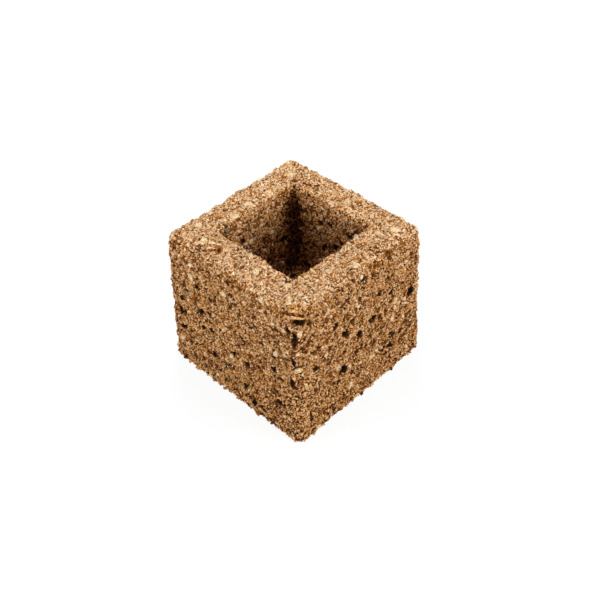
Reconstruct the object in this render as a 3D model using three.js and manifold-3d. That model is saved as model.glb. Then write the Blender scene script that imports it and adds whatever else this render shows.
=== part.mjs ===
// Propagation cube: one pressed block of coir pith, peat and coconut husk, with a square pocket in
// its top for a starter plug. The coarsest chips of husk are bonded in sockets of their own.
// Millimetres, +Z up. The origin is the middle of the base, on the surface that the block stands on.
// -Y is called the front, +X the right, +Y the back and -X the left.

import * as THREE from 'three';
import { mergeVertices } from 'three/addons/utils/BufferGeometryUtils.js';
import Module from 'manifold-3d';

const wasm = await Module();
wasm.setup();

// The block. It narrows upwards, so that it leaves its mould.
const BASE_SIDE = 80;
const TOP_SIDE = 75;
const HEIGHT = 70;
const ARRIS_RADIUS = 4; // the four upright edges
const RIM_CORNER_RADIUS = 2; // the rim's outer corners, seen from above
const SHOULDER_RADIUS = 4.5; // the edge between the walls and the rim
const FOOT_RADIUS = 1.5; // the edge round the base

// The pocket. It narrows downwards with the plug that it takes, and its floor is flat.
const POCKET_MOUTH = 43.5;
const POCKET_FLOOR = 35;
const POCKET_DEPTH = 40;
const POCKET_CORNER_RADIUS = 2.5;
const LIP_RADIUS = 1.5; // the edge between the rim and the pocket
const POCKET_FLOOR_RADIUS = 1.5;

// The pressed walls and rim swell a little, and the crumbly mix stands up in low lumps on them.
// Both fade out over a short way towards the base and the pocket's floor, which are flat.
const SWELL_HEIGHT = 0.3;
const SWELL_LENGTH = 17;
const LUMP_HEIGHT = 0.4;
const LUMP_SPACING = 9.5;
const FADE = 9;

// Low round marks, left on the rim where the press let go of the block.
const MARK_RADIUS = 5.5;
const MARK_HEIGHT = 0.8;

// Every crumb of the mix is uneven by up to this share of its size.
const CRUMB_UNEVENNESS = 0.15;

// The coarsest chips of husk, flat and half sunk, in sockets that clear them all round.
const CHIP_LENGTH = 3.8;
const CHIP_WIDTH = 2.7;
const CHIP_THICKNESS = 1.7;
const CHIP_VARIATION = 0.2; // chips differ in size by up to this share
const CHIP_PROUD = 0.55;
const CHIP_CLEARANCE = 0.3;

// Open pits where crumbs have fallen out or the mix didn't close.
const PIT_LENGTH = 3.2;
const PIT_WIDTH = 2.2;
const PIT_DEPTH = 1.6;
const PIT_VARIATION = 0.25;

// The coarse chips and pits that show in the photograph, each as shares of its wall: from the
// middle of the wall to its sides, -1 to 1, and from the wall's foot to its top, 0 to 1.
const FRONT_CHIPS = [[-0.58, 0.79], [0, 0.35], [-0.06, 0.83], [0.7, 0.64], [0.5, 0.96], [-0.84, 0.18]];
const FRONT_PITS = [
  [-0.79, 0.44], [-0.69, 0.63], [-0.49, 0.73], [-0.31, 0.69], [-0.46, 0.55], [-0.79, 0.3],
  [-0.3, 0.45], [0.41, 0.73], [0.63, 0.81], [0.19, 0.55], [0.25, 0.38], [0.67, 0.5], [0.21, 0.18],
  [-0.28, 0.25], [0.72, 0.25], [-0.27, 0.91], [0.9, 0.88],
];
const RIGHT_CHIPS = [[-0.93, 0.86], [-0.95, 0.6], [-0.39, 0.39], [-0.2, 0.16], [0.54, 0.57], [0.48, 0.44]];
const RIGHT_PITS = [
  [-0.79, 0.9], [-0.41, 0.73], [-0.27, 0.62], [-0.15, 0.67], [-0.05, 0.52], [-0.54, 0.6],
  [-0.33, 0.3], [0.17, 0.56], [0.8, 0.54], [0.48, 0.68], [0.27, 0.72], [0.44, 0.23], [0.63, 0.29],
  [-0.79, 0.5], [-0.69, 0.17], [0.01, 0.92],
];
const POCKET_BACK_CHIPS = [[0.23, 0.63], [-0.5, 0.35]];
const POCKET_LEFT_CHIPS = [[-0.31, 0.59], [0.28, 0.63], [-0.56, 0.1]];
const GREY_CHIP_PLACE = [0.8, 0.935]; // on the pocket's left wall, below its lip
const POCKET_BACK_PITS = [[-0.04, 0.75], [-0.58, 0.75], [0.06, 0.42], [-0.24, 0.5]];
const POCKET_LEFT_PITS = [[-0.6, 0.4], [0.2, 0.35]];
// On the rim the second share runs from the pocket's lip, 0, to the shoulder, 1.
const RIM_CHIPS = {
  front: [[-0.55, 0.75], [0.2, 0.55], [0.6, 0.3], [0.76, 0.85]],
  right: [[-0.25, 0.5], [0.55, 0.5], [0.72, 0.8]],
  back: [[0.72, 0.3], [-0.1, 0.6]],
  left: [[0.29, 0.02], [-0.28, 0.2], [0.02, 0.3], [0.66, 0.75]],
};
const RIM_MARKS = { front: [[-0.51, 0.6], [0.83, 0.6]], right: [[0.43, 0.6]], back: [[0.47, 0.6]] };

// The walls that don't show carry as many, spread evenly by the two shares of a plastic-number
// sequence, clear of the walls' edges.
const HIDDEN_CHIPS = 6;
const HIDDEN_PITS = 16;
const SPREAD_STEPS = [0.7549, 0.5698];
const SPREAD_ACROSS = [-0.9, 0.9];
const SPREAD_UP = [0.07, 0.91];

// How finely the curved and the uneven surfaces are cut.
const CORNER_STEPS = 3;
const SIDE_STEPS = 17;
const EDGE_STEPS = 3;
const WALL_STEPS = 15;
const RIM_STEPS = 3;
const POCKET_STEPS = 9;
const MARK_STEPS = 14;

const QUARTER = Math.PI / 2;
const UP = new THREE.Vector3(0, 0, 1);
const TURNS = { front: 0, right: QUARTER, back: 2 * QUARTER, left: 3 * QUARTER };
const pocketFloorHeight = HEIGHT - POCKET_DEPTH;
const shoulderFoot = HEIGHT - SHOULDER_RADIUS;
const rimInner = POCKET_MOUTH / 2 + LIP_RADIUS;
const rimOuter = TOP_SIDE / 2 - SHOULDER_RADIUS;

const coir = new THREE.MeshStandardMaterial({ color: '#9a7149', roughness: 0.95, metalness: 0 });
const husk = new THREE.MeshStandardMaterial({ color: '#d9b883', roughness: 0.8, metalness: 0 });
const greyHusk = new THREE.MeshStandardMaterial({ color: '#a79d80', roughness: 0.85, metalness: 0 });

/** Half the block's width at a height on its walls. */
function wallHalf(z) {
  return THREE.MathUtils.lerp(BASE_SIDE, TOP_SIDE, z / HEIGHT) / 2;
}

/** Half the pocket's width at a height on its walls. */
function pocketHalf(z) {
  return THREE.MathUtils.lerp(POCKET_FLOOR, POCKET_MOUTH, (z - pocketFloorHeight) / POCKET_DEPTH) / 2;
}

/** The swell of the surface at a place, from -1 to 1. */
function swell(x, y, z) {
  const k = (2 * Math.PI) / SWELL_LENGTH;
  const broad = Math.sin(k * x + 1.7 * Math.sin(0.6 * k * z)) * Math.cos(0.8 * k * y + 0.9);
  const slanted = Math.sin(k * (0.7 * x + 1.1 * y - 0.9 * z) + 2);
  return 0.6 * broad + 0.4 * slanted;
}

/** The lumps of the surface at a place, from about -1 to 1. They lie askew to every face. */
function lumps(x, y, z) {
  const k = (2 * Math.PI) / LUMP_SPACING;
  const u = k * (0.8 * x + 0.36 * y + 0.48 * z);
  const v = k * (-0.6 * x + 0.48 * y + 0.64 * z);
  const w = k * (-0.8 * y + 0.6 * z);
  return (Math.sin(u) * Math.cos(v) + Math.sin(v) * Math.cos(w) + Math.sin(w) * Math.cos(u)) / 1.3;
}

/** A number from 0 to 1 that looks random and is the same for the same seed. */
function scatter(seed) {
  return THREE.MathUtils.euclideanModulo(Math.sin(seed * 12.9898) * 43758.5453, 1);
}

/** A factor near 1, up to the given share above or below it. */
function vary(share, seed) {
  return 1 + share * (2 * scatter(seed) - 1);
}

/** The points of a square with round corners, each with the direction that faces outwards there. */
function roundedSquare(half, radius) {
  const points = [];
  const origin = new THREE.Vector2();
  const centre = half - radius;
  for (const turn of Object.values(TURNS)) {
    const corner = new THREE.Vector2(centre, centre).rotateAround(origin, turn);
    for (let step = 0; step <= CORNER_STEPS; step++) {
      const angle = turn + (step / CORNER_STEPS) * QUARTER;
      const out = new THREE.Vector2(Math.cos(angle), Math.sin(angle));
      points.push({ at: corner.clone().addScaledVector(out, radius), out });
    }
    const out = new THREE.Vector2(0, 1).rotateAround(origin, turn);
    for (let step = 1; step < SIDE_STEPS; step++) {
      const along = THREE.MathUtils.lerp(centre, -centre, step / SIDE_STEPS);
      points.push({ at: new THREE.Vector2(along, half).rotateAround(origin, turn), out });
    }
  }
  return points;
}

/**
 * The block's profile from the edge of the base, up the wall, over the rim and down to the
 * pocket's floor. Each ring has its half width, corner radius and height, the direction that the
 * surface faces there and the share of the swell and the lumps that it gets.
 */
function profile() {
  const rings = [];
  const ring = (half, radius, z, faceOut, faceUp, rough) =>
    rings.push({ half, radius, z, faceOut, faceUp, rough });
  // The edge round the base.
  for (let step = 0; step <= EDGE_STEPS; step++) {
    const angle = (step / EDGE_STEPS) * QUARTER;
    const z = FOOT_RADIUS * (1 - Math.cos(angle));
    const inset = FOOT_RADIUS * (1 - Math.sin(angle));
    ring(wallHalf(z) - inset, ARRIS_RADIUS - inset / 2, z, 1, 0, 0);
  }
  // The wall.
  for (let step = 1; step < WALL_STEPS; step++) {
    const z = THREE.MathUtils.lerp(FOOT_RADIUS, shoulderFoot, step / WALL_STEPS);
    ring(wallHalf(z), ARRIS_RADIUS, z, 1, 0, Math.min(1, (z - FOOT_RADIUS) / FADE));
  }
  // The shoulder.
  for (let step = 0; step <= EDGE_STEPS; step++) {
    const angle = (step / EDGE_STEPS) * QUARTER;
    const inset = SHOULDER_RADIUS * (1 - Math.cos(angle));
    const z = shoulderFoot + SHOULDER_RADIUS * Math.sin(angle);
    const radius = THREE.MathUtils.lerp(ARRIS_RADIUS, RIM_CORNER_RADIUS, step / EDGE_STEPS);
    ring(wallHalf(z) - inset, radius, z, Math.cos(angle), Math.sin(angle), 1);
  }
  // The rim and its lip.
  const lipCorner = POCKET_CORNER_RADIUS + LIP_RADIUS;
  for (let step = 1; step < RIM_STEPS; step++) {
    const over = step / RIM_STEPS;
    const radius = THREE.MathUtils.lerp(RIM_CORNER_RADIUS, lipCorner, over);
    ring(THREE.MathUtils.lerp(rimOuter, rimInner, over), radius, HEIGHT, 0, 1, 1);
  }
  for (let step = 0; step <= EDGE_STEPS; step++) {
    const angle = (step / EDGE_STEPS) * QUARTER;
    const inset = LIP_RADIUS * Math.sin(angle);
    const z = HEIGHT - LIP_RADIUS * (1 - Math.cos(angle));
    ring(rimInner - inset, lipCorner - inset, z, -Math.sin(angle), Math.cos(angle), 1);
  }
  // The pocket's wall and the edge round its floor.
  const wallTop = HEIGHT - LIP_RADIUS;
  const wallFoot = pocketFloorHeight + POCKET_FLOOR_RADIUS;
  for (let step = 1; step < POCKET_STEPS; step++) {
    const z = THREE.MathUtils.lerp(wallTop, wallFoot, step / POCKET_STEPS);
    ring(pocketHalf(z), POCKET_CORNER_RADIUS, z, -1, 0, Math.min(1, (z - wallFoot) / FADE));
  }
  for (let step = 0; step <= EDGE_STEPS; step++) {
    const angle = (step / EDGE_STEPS) * QUARTER;
    const inset = POCKET_FLOOR_RADIUS * (1 - Math.cos(angle));
    const z = wallFoot - POCKET_FLOOR_RADIUS * Math.sin(angle);
    ring(pocketHalf(z) - inset, POCKET_CORNER_RADIUS - inset / 2, z, -1, 0, 0);
  }
  return rings;
}

/** The closed surface of the block before its marks, sockets and pits. */
function blockGeometry() {
  const positions = [];
  const triangles = [];
  const rings = profile();
  for (const { half, radius, z, faceOut, faceUp, rough } of rings) {
    for (const { at, out } of roundedSquare(half, radius)) {
      const place = [at.x, at.y, z];
      const lift = rough * (SWELL_HEIGHT * swell(...place) + LUMP_HEIGHT * lumps(...place));
      at.addScaledVector(out, faceOut * lift);
      positions.push(at.x, at.y, z + faceUp * lift);
    }
  }
  const count = positions.length / 3 / rings.length;
  for (let level = 0; level < rings.length - 1; level++) {
    for (let j = 0; j < count; j++) {
      const a = level * count + j;
      const b = level * count + ((j + 1) % count);
      triangles.push(a, b, b + count, a, b + count, a + count);
    }
  }
  const baseCentre = positions.length / 3;
  const floorCentre = baseCentre + 1;
  const lastRing = (rings.length - 1) * count;
  positions.push(0, 0, 0, 0, 0, pocketFloorHeight);
  for (let j = 0; j < count; j++) {
    const next = (j + 1) % count;
    triangles.push(baseCentre, next, j, floorCentre, lastRing + j, lastRing + next);
  }
  const geometry = new THREE.BufferGeometry();
  geometry.setAttribute('position', new THREE.Float32BufferAttribute(positions, 3));
  geometry.setIndex(triangles);
  return geometry;
}

/** A copy of a closed geometry that has only positions, with the vertices that meet merged. */
function merged(geometry) {
  const bare = geometry.clone();
  bare.deleteAttribute('normal');
  bare.deleteAttribute('uv');
  return mergeVertices(bare);
}

/** A flat, uneven crumb, with its thickness along Z. grow makes it that much larger all round. */
function crumbGeometry(length, width, thickness, seed, grow = 0) {
  const crumb = merged(new THREE.IcosahedronGeometry(1, 0));
  const position = crumb.getAttribute('position');
  const size = new THREE.Vector3(length, width, thickness).divideScalar(2);
  for (let i = 0; i < position.count; i++) {
    const direction = new THREE.Vector3().fromBufferAttribute(position, i);
    const vertex = direction.clone().multiply(size).multiplyScalar(vary(CRUMB_UNEVENNESS, seed + 7.3 * i));
    vertex.addScaledVector(direction, grow);
    position.setXYZ(i, vertex.x, vertex.y, vertex.z);
  }
  return crumb;
}

/** The low round mark, a shallow dome whose foot reaches down into the rim and the shoulder. */
function markGeometry() {
  const foot = SWELL_HEIGHT + LUMP_HEIGHT + SHOULDER_RADIUS / 2;
  const outline = [
    new THREE.Vector2(0, -foot),
    new THREE.Vector2(MARK_RADIUS, -foot),
    new THREE.Vector2(MARK_RADIUS, 0),
    new THREE.Vector2(0.85 * MARK_RADIUS, 0.7 * MARK_HEIGHT),
    new THREE.Vector2(0.45 * MARK_RADIUS, MARK_HEIGHT),
    new THREE.Vector2(0, MARK_HEIGHT),
  ];
  return new THREE.LatheGeometry(outline, MARK_STEPS).rotateX(QUARTER);
}

/** A closed geometry as a solid that can be joined and cut. */
function solid(geometry, matrix = new THREE.Matrix4()) {
  const closed = merged(geometry).applyMatrix4(matrix);
  const vertProperties = new Float32Array(closed.getAttribute('position').array);
  const triVerts = new Uint32Array(closed.getIndex().array);
  return new wasm.Manifold(new wasm.Mesh({ numProp: 3, vertProperties, triVerts }));
}

/** The surface of a solid. */
function surfaceOf(manifold) {
  const { vertProperties, triVerts } = manifold.getMesh();
  const geometry = new THREE.BufferGeometry();
  geometry.setAttribute('position', new THREE.BufferAttribute(vertProperties, 3));
  geometry.setIndex(new THREE.BufferAttribute(triVerts, 1));
  geometry.computeVertexNormals();
  return geometry;
}

/** The place above the front rim, turned to its side, that two shares of the rim name. */
function rimPlace(side, [along, over]) {
  const y = -THREE.MathUtils.lerp(rimInner, rimOuter, over);
  return new THREE.Vector3((along * TOP_SIDE) / 2, y, HEIGHT).applyAxisAngle(UP, TURNS[side]);
}

const marks = Object.entries(RIM_MARKS).flatMap(([side, places]) =>
  places.map((place) => solid(markGeometry(), new THREE.Matrix4().setPosition(rimPlace(side, place)))),
);
const moulded = wasm.Manifold.union([solid(blockGeometry()), ...marks]);
const mouldedBlock = new THREE.Mesh(surfaceOf(moulded), coir);

/** Where a ray meets the moulded block, with the direction that its surface faces there. */
function seatAlong(origin, direction) {
  const [hit] = new THREE.Raycaster(origin, direction).intersectObject(mouldedBlock);
  return { point: hit.point, normal: hit.face.normal.clone() };
}

/** A seat on an outer wall, from shares of the wall's half width and height. */
function wallSeat(side, [across, up]) {
  const z = up * HEIGHT;
  const origin = new THREE.Vector3(across * wallHalf(z), -BASE_SIDE - TOP_SIDE, z);
  const inwards = new THREE.Vector3(0, 1, 0);
  return seatAlong(origin.applyAxisAngle(UP, TURNS[side]), inwards.applyAxisAngle(UP, TURNS[side]));
}

/** A seat on one of the pocket's walls, from shares of its half width and depth. */
function pocketSeat(side, [across, up]) {
  const z = pocketFloorHeight + up * POCKET_DEPTH;
  const origin = new THREE.Vector3(across * pocketHalf(z), 0, z);
  const outwards = new THREE.Vector3(0, -1, 0);
  return seatAlong(origin.applyAxisAngle(UP, TURNS[side]), outwards.applyAxisAngle(UP, TURNS[side]));
}

/** A seat on the rim, straight below its place. */
function rimSeat(side, place) {
  return seatAlong(rimPlace(side, place).addScaledVector(UP, HEIGHT), UP.clone().negate());
}

/** Puts an object in a seat, sunk so far into it and turned about the seat's normal. */
function settle(object, { point, normal }, sunk, turn) {
  object.position.copy(point).addScaledVector(normal, -sunk);
  object.quaternion.setFromUnitVectors(UP, normal);
  object.rotateZ(turn);
  object.updateMatrix();
  return object;
}

/** Evenly spread places on a wall that the photograph doesn't show. */
function spread(first, count) {
  return Array.from({ length: count }, (_, index) => {
    const [across, up] = SPREAD_STEPS.map((step) => (step * (first + index)) % 1);
    return [THREE.MathUtils.lerp(...SPREAD_ACROSS, across), THREE.MathUtils.lerp(...SPREAD_UP, up)];
  });
}

const cube = new THREE.Group();
const sockets = [];

/** Adds a named chip in a seat, and the socket that it lies in. */
function addChip(name, seat, material) {
  const seed = sockets.length + 1;
  const size = vary(CHIP_VARIATION, seed);
  const sizes = [CHIP_LENGTH * size, CHIP_WIDTH * size, CHIP_THICKNESS];
  const chip = new THREE.Mesh(crumbGeometry(...sizes, seed), material);
  chip.name = name;
  settle(chip, seat, CHIP_THICKNESS / 2 - CHIP_PROUD, Math.PI * scatter(seed + 0.5));
  sockets.push(solid(crumbGeometry(...sizes, seed, CHIP_CLEARANCE), chip.matrix));
  cube.add(chip);
}

/** Adds the husk chips of one face, numbered from 1. */
function addHusk(face, seats) {
  seats.forEach((seat, index) => addChip(`husk_chip_${face}_${index + 1}`, seat, husk));
}

/** A pit as a solid to cut away, with its middle on the surface. */
function pitSolid(seat, index) {
  const seed = 100 + index;
  const size = vary(PIT_VARIATION, seed);
  const pit = crumbGeometry(PIT_LENGTH * size, PIT_WIDTH * size, 2 * PIT_DEPTH, seed);
  return solid(pit, settle(new THREE.Object3D(), seat, 0, Math.PI * scatter(seed + 0.5)).matrix);
}

const firstPit = 2 * HIDDEN_CHIPS;
addHusk('front', FRONT_CHIPS.map((place) => wallSeat('front', place)));
addHusk('right', RIGHT_CHIPS.map((place) => wallSeat('right', place)));
addHusk('back', spread(0, HIDDEN_CHIPS).map((place) => wallSeat('back', place)));
addHusk('left', spread(HIDDEN_CHIPS, HIDDEN_CHIPS).map((place) => wallSeat('left', place)));
addHusk('pocket_back', POCKET_BACK_CHIPS.map((place) => pocketSeat('back', place)));
addHusk('pocket_left', POCKET_LEFT_CHIPS.map((place) => pocketSeat('left', place)));
for (const [side, places] of Object.entries(RIM_CHIPS)) {
  addHusk(`rim_${side}`, places.map((place) => rimSeat(side, place)));
}
addChip('grey_chip_pocket_corner', pocketSeat('left', GREY_CHIP_PLACE), greyHusk);

const pits = [
  ...FRONT_PITS.map((place) => wallSeat('front', place)),
  ...RIGHT_PITS.map((place) => wallSeat('right', place)),
  ...spread(firstPit, HIDDEN_PITS).map((place) => wallSeat('back', place)),
  ...spread(firstPit + HIDDEN_PITS, HIDDEN_PITS).map((place) => wallSeat('left', place)),
  ...POCKET_BACK_PITS.map((place) => pocketSeat('back', place)),
  ...POCKET_LEFT_PITS.map((place) => pocketSeat('left', place)),
].map(pitSolid);

const body = moulded.subtract(wasm.Manifold.union([...pits, ...sockets]));
const blockBody = new THREE.Mesh(surfaceOf(body), coir);
blockBody.name = 'block_body';
cube.add(blockBody);

export default cube;
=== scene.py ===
"""A propagation cube: one pressed block of coir pith, peat and husk, with a pocket for a plug.

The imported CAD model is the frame. The block is modelled again at its sizes with its open pores,
its pressed marks and its crumbled surface. Loose-edged crumbs, flakes and fibres of the mix stand
on it as real shapes, and each coarse husk chip of the frame gets a torn, fibrous one.
Sizes are in millimetres until a mesh is made, +Z is up, -Y is the front and +X the right.
"""

import logging
import math
from collections.abc import Callable, Iterator, Sequence
from contextlib import contextmanager
from dataclasses import dataclass, field, replace
from enum import Enum

import bmesh
import bpy
import numpy as np
from mathutils import Matrix, Vector
from mathutils.bvhtree import BVHTree

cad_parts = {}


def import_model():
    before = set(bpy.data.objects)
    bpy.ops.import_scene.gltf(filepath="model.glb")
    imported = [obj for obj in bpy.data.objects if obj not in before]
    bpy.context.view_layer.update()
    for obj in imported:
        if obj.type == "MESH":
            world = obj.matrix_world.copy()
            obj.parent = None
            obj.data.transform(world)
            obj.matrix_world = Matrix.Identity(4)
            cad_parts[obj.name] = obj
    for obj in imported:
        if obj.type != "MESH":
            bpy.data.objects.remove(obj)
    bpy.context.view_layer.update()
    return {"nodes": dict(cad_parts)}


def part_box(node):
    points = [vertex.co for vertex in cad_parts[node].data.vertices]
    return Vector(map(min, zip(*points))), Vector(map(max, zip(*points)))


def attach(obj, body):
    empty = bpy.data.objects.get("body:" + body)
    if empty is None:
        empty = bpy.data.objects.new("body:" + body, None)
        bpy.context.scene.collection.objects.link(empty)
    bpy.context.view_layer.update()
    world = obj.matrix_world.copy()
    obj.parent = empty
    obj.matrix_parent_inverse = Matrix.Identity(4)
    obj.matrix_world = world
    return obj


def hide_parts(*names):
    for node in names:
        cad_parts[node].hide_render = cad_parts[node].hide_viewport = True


LOG = logging.getLogger("propagation_cube")
MM = 0.001  # metres in a millimetre
QUARTER = math.pi / 2
BODY = "root"

Place = tuple[float, float]
Point = tuple[float, float, float]
Array = np.ndarray
Piece = bpy.types.Object
Mesh = bpy.types.Mesh
Tree = bpy.types.NodeTree
Socket = bpy.types.NodeSocket


class Side(Enum):
    """A side of the block, as quarter turns about Z from the front."""

    FRONT = 0
    RIGHT = 1
    BACK = 2
    LEFT = 3


class Region(Enum):
    """A stretch of the surface that carries its own crumbs, by the name of its piece."""

    FRONT = "front"
    RIGHT = "right"
    BACK = "back"
    LEFT = "left"
    RIM = "rim"
    FOOT = "foot"
    POCKET = "pocket"
    BASE = "base"


# ---------------------------------------------------------------- small helpers


def linear(colour: str) -> tuple[float, float, float, float]:
    """Turns an sRGB hex colour to linear.

    Args:
        colour: The colour, such as "#a1b2c3".

    Returns:
        Red, green, blue and alpha, which is 1.
    """
    parts = [int(colour[i : i + 2], 16) / 255 for i in (1, 3, 5)]
    flat = [c / 12.92 if c <= 0.04045 else ((c + 0.055) / 1.055) ** 2.4 for c in parts]
    return flat[0], flat[1], flat[2], 1.0


def add_node(
    tree: Tree, kind: str, settings: dict | None = None, links: dict | None = None
) -> bpy.types.Node:
    """Adds a node with its settings and its links.

    Args:
        tree: The node tree.
        kind: The node's type, without its "ShaderNode".
        settings: Values by socket name or number, or by property. "stops" holds a colour ramp's
            (place, hex colour) pairs.
        links: The socket that feeds each input, by the input's name or number.

    Returns:
        The new node.
    """
    node = tree.nodes.new(f"ShaderNode{kind}")
    for key, value in (settings or {}).items():
        if key == "stops":
            ramp = node.color_ramp
            for _ in value[2:]:
                ramp.elements.new(1.0)
            for element, (place, colour) in zip(ramp.elements, value):
                element.position, element.color = place, linear(colour)
        elif isinstance(key, int) or key in node.inputs:
            node.inputs[key].default_value = value
        else:
            setattr(node, key, value)
    for key, socket in (links or {}).items():
        tree.links.new(socket, node.inputs[key])
    return node


def maths(tree: Tree, operation: str, *inputs: float | Socket, clamp: bool = False) -> Socket:
    """Adds a Math node.

    Args:
        tree: The node tree.
        operation: What it works out.
        inputs: Its numbers or sockets, in order.
        clamp: Whether the result is kept between 0 and 1.

    Returns:
        Its result.
    """
    settings: dict = {"operation": operation, "use_clamp": clamp}
    links: dict = {}
    for index, value in enumerate(inputs):
        (links if isinstance(value, Socket) else settings)[index] = value
    return add_node(tree, "Math", settings, links).outputs[0]


def ranged(tree: Tree, value: Socket, before: Place, after: Place, clamp: bool = True) -> Socket:
    """Maps a value from one range to another and returns the result."""
    ends = dict(zip(("From Min", "From Max", "To Min", "To Max"), before + after))
    return add_node(tree, "MapRange", {"clamp": clamp, **ends}, {"Value": value}).outputs["Result"]


def pattern(
    tree: Tree, kind: str, width: float, place: Socket, **settings: float
) -> bpy.types.Node:
    """Adds a texture with grains of a width in millimetres."""
    return add_node(tree, kind, {"Scale": 1 / (width * MM), **settings}, {"Vector": place})


def new_material(
    name: str, roughness: float, specular: float = 0.5
) -> tuple[bpy.types.Material, Tree, Socket]:
    """Starts a material.

    Args:
        name: Its name.
        roughness: How dull it is, from 0 to 1.
        specular: How much it shines, where 0.5 is usual.

    Returns:
        The material, its tree and the socket of the place on the piece.
    """
    material = bpy.data.materials.new(name)
    material.use_nodes = True
    tree = material.node_tree
    shader = tree.nodes["Principled BSDF"]
    shader.inputs["Roughness"].default_value = roughness
    shader.inputs["Specular IOR Level"].default_value = specular
    return material, tree, add_node(tree, "TexCoord").outputs["Object"]


def paint(tree: Tree, tone: Socket, stops: Sequence[tuple[float, str]]) -> None:
    """Colours the shader by a tone, with a hex colour at each of some tones."""
    colour = add_node(tree, "ValToRGB", {"stops": stops}, {"Fac": tone})
    tree.links.new(colour.outputs["Color"], tree.nodes["Principled BSDF"].inputs["Base Color"])


def emboss(tree: Tree, height: Socket, strength: float, depth: float) -> None:
    """Gives the shader a bump of a depth in millimetres."""
    settings = {"Strength": strength, "Distance": depth * MM}
    bump = add_node(tree, "Bump", settings, {"Height": height})
    tree.links.new(bump.outputs["Normal"], tree.nodes["Principled BSDF"].inputs["Normal"])


def deselect_all() -> None:
    """Deselects every object."""
    bpy.ops.object.select_all(action="DESELECT")


def select_only(piece: Piece) -> None:
    """Makes a piece the only selected object and the active one."""
    deselect_all()
    piece.select_set(True)
    bpy.context.view_layer.objects.active = piece


def settle() -> None:
    """Works the active object's place, turn and size into its mesh."""
    bpy.ops.object.transform_apply(location=True, rotation=True, scale=True)


def resize(scale: Point, about: Sequence[float]) -> None:
    """Scales what is selected about a point, in metres."""
    bpy.ops.transform.resize(value=scale, center_override=about)


@contextmanager
def edit_mode(piece: Piece, whole: bool = False) -> Iterator[None]:
    """Holds a piece in edit mode, with all of it or nothing selected.

    Args:
        piece: The mesh object to edit.
        whole: Whether all of it is selected.

    Yields:
        Nothing.
    """
    select_only(piece)
    bpy.ops.object.mode_set(mode="EDIT")
    bpy.ops.mesh.select_all(action="SELECT" if whole else "DESELECT")
    yield
    bpy.ops.object.mode_set(mode="OBJECT")


def pick(kind: str, test: Callable[[Vector, Vector], bool]) -> None:
    """Selects the faces or the edges of the edited mesh that pass a test.

    Args:
        kind: "FACE" or "EDGE".
        test: Says yes or no to a middle, in metres, with the face's normal or the edge's direction.
    """
    bpy.ops.mesh.select_mode(type=kind)
    bpy.ops.mesh.select_all(action="DESELECT")
    mesh = bpy.context.edit_object.data
    shape = bmesh.from_edit_mesh(mesh)
    for face in shape.faces if kind == "FACE" else ():
        face.select_set(test(face.calc_center_median(), face.normal))
    for edge in shape.edges if kind == "EDGE" else ():
        start, end = (corner.co for corner in edge.verts)
        edge.select_set(test((start + end) / 2, (end - start).normalized()))
    bmesh.update_edit_mesh(mesh)


def apply_modifier(piece: Piece, kind: str, **settings: object) -> None:
    """Adds a modifier to a piece and applies it.

    Args:
        piece: The mesh object.
        kind: The modifier's type, such as "REMESH".
        settings: Its properties.
    """
    select_only(piece)
    modifier = piece.modifiers.new(kind.title(), kind)
    for name, value in settings.items():
        setattr(modifier, name, value)
    bpy.ops.object.modifier_apply(modifier=modifier.name)


def displace(
    piece: Piece, name: str, kind: str, width: float, height: float, **settings: object
) -> None:
    """Raises a piece's surface by a texture.

    Args:
        piece: The mesh object.
        name: The texture's name.
        kind: Its type.
        width: Its grain in millimetres.
        height: How far it lifts the surface, in millimetres.
        settings: More properties of the modifier.
    """
    texture = bpy.data.textures.new(name, kind)
    texture.noise_scale = width * MM
    sizes = {"texture": texture, "texture_coords": "LOCAL", "strength": height * MM}
    apply_modifier(piece, "DISPLACE", **sizes, **settings)


def vertex_places(mesh: Mesh) -> Array:
    """Returns the places of a mesh's vertices, one row for each."""
    found = np.empty(len(mesh.vertices) * 3, np.float32)
    mesh.vertices.foreach_get("co", found)
    return found.reshape(-1, 3).astype(float)


def move_vertices(mesh: Mesh, places: Array) -> None:
    """Moves a mesh's vertices to these places."""
    mesh.vertices.foreach_set("co", places.astype(np.float32).ravel())
    mesh.update()


def set_values(mesh: Mesh, name: str, values: Array) -> None:
    """Stores one number for each vertex under a name that a material reads."""
    layer = mesh.attributes.new(name, "FLOAT", "POINT")
    layer.data.foreach_set("value", values.astype(np.float32))


def search_tree(mesh: Mesh) -> BVHTree:
    """Makes a tree that finds the nearest face, the same one in each run.

    A bevel gives its faces another order each time, and where two faces are as near, the order
    decides. So they are put in order here.

    Args:
        mesh: The mesh.

    Returns:
        The tree.
    """
    faces = []
    for face in mesh.polygons:
        corners = face.vertices[:]
        first = corners.index(min(corners))
        faces.append(corners[first:] + corners[:first])
    return BVHTree.FromPolygons([vertex.co for vertex in mesh.vertices], sorted(faces))


def new_piece(name: str, mesh: Mesh) -> Piece:
    """Makes an object at the origin, of a mesh that has its place in it."""
    piece = bpy.data.objects.new(name, mesh)
    bpy.context.scene.collection.objects.link(piece)
    return piece


def mesh_from(name: str, places: Array, faces: Array) -> Mesh:
    """Makes a mesh of triangles.

    Args:
        name: The mesh's name.
        places: One row for each vertex, in metres.
        faces: Three vertex numbers for each triangle.

    Returns:
        The mesh.
    """
    mesh = bpy.data.meshes.new(name)
    mesh.vertices.add(len(places))
    mesh.loops.add(faces.size)
    mesh.polygons.add(len(faces))
    mesh.vertices.foreach_set("co", places.astype(np.float32).ravel())
    mesh.loops.foreach_set("vertex_index", faces.astype(np.int32).ravel())
    mesh.polygons.foreach_set("loop_start", np.arange(0, faces.size, 3, dtype=np.int32))
    mesh.update(calc_edges=True)
    mesh.validate()
    return mesh


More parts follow.
